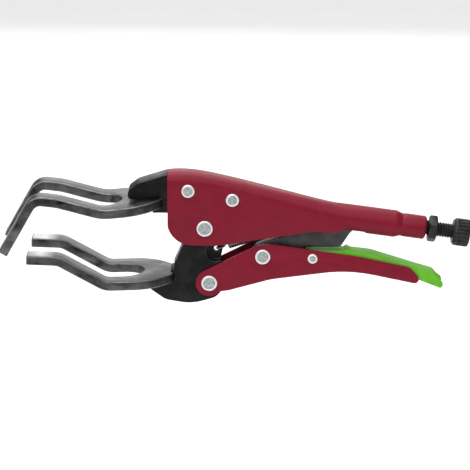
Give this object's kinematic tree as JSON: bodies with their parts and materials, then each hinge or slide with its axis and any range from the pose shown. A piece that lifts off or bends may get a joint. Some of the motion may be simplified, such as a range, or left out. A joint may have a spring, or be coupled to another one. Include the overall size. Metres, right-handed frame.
{
  "type": "locking welding clamp",
  "caption": "Locking plier clamp with two U-shaped fork jaws, an over-centre handle, a release lever and a knurled adjusting screw.",
  "frame": {"origin": "bottom centre of the clamp's box, below the middle of its length, in the plane through the middle of its thickness", "axes": "+X from the fork tips to the adjusting knob, +Y across the clamp, +Z from the lower handle to the upper handle"},
  "size_m": [0.2838, 0.0502, 0.0817],
  "materials": {
    "red_paint": "satin powder coat",
    "green_paint": "satin powder coat",
    "black_steel": "black oxide, satin",
    "forged_steel": "hardened, oiled",
    "rivet_steel": "bright zinc",
    "black_oxide": "black oxide, oiled",
    "spring_steel": "dark wire"
  },
  "bodies": {
    "upper_frame": {"upper_handle": "red_paint", "fixed_jaw_block": "black_steel", "upper_fork": "forged_steel", "upper_fork_weld": "forged_steel", "fixed_jaw_rivet_front": "rivet_steel", "fixed_jaw_rivet_rear": "rivet_steel", "jaw_pivot_rivet": "rivet_steel", "thread_bush": "black_oxide", "spring_anchor_pin": "rivet_steel", "tension_spring": "spring_steel"},
    "moving_jaw": {"moving_jaw_bracket": "black_steel", "lower_fork": "forged_steel", "lower_fork_weld": "forged_steel"},
    "lower_handle_arm": {"lower_handle": "red_paint", "handle_pivot_rivet": "rivet_steel", "link_pivot_rivet": "rivet_steel", "release_lever_pin": "rivet_steel", "link_washers": "rivet_steel"},
    "link": {"toggle_link": "black_steel"},
    "lever": {"release_lever": "green_paint"},
    "screw": {"adjusting_screw": "black_oxide"},
    "knob": {"screw_knob": "black_oxide"},
    "nut": {"lock_nut": "black_oxide"}
  },
  "joints": [
    {"name": "jaw_hinge", "type": "hinge", "parent": "upper_frame", "child": "moving_jaw", "pos_m": [-0.01915, 0, 0.04745], "axis": [0, -1, 0], "range_deg": [0, 24], "deforming": ["tension_spring"]},
    {"name": "handle_hinge", "type": "hinge", "parent": "moving_jaw", "child": "lower_handle_arm", "pos_m": [-0.01649, 0, 0.01295], "axis": [0, 1, 0], "range_deg": [0, 75]},
    {"name": "link_hinge", "type": "hinge", "parent": "lower_handle_arm", "child": "link", "pos_m": [0.01585, 0, 0.02955], "axis": [0, -1, 0], "range_deg": [0, 80]},
    {"name": "release_lever_hinge", "type": "hinge", "parent": "lower_handle_arm", "child": "lever", "pos_m": [0.04595, 0, 0.02845], "axis": [0, -1, 0], "range_deg": [0, 5]},
    {"name": "screw_slide", "type": "slide", "parent": "upper_frame", "child": "screw", "axis": [0.9905, 0, -0.1374], "range_m": [0, 0.012]},
    {"name": "knob_spin", "type": "hinge", "parent": "screw", "child": "knob", "pos_m": [0.13085, 0, 0.04325], "axis": [0.9905, 0, -0.1374], "range_deg": [0, 2721.26]},
    {"name": "nut_spin", "type": "hinge", "parent": "upper_frame", "child": "nut", "pos_m": [0.11695, 0, 0.04515], "axis": [0.9905, 0, -0.1374], "continuous": true}
  ],
  "couplings": [
    {"joint": "handle_hinge", "follows": "jaw_hinge", "ratio": 3},
    {"joint": "link_hinge", "follows": "jaw_hinge", "ratio": 3.26},
    {"joint": "knob_spin", "follows": "screw_slide", "rad_per_m": 3957.9}
  ]
}
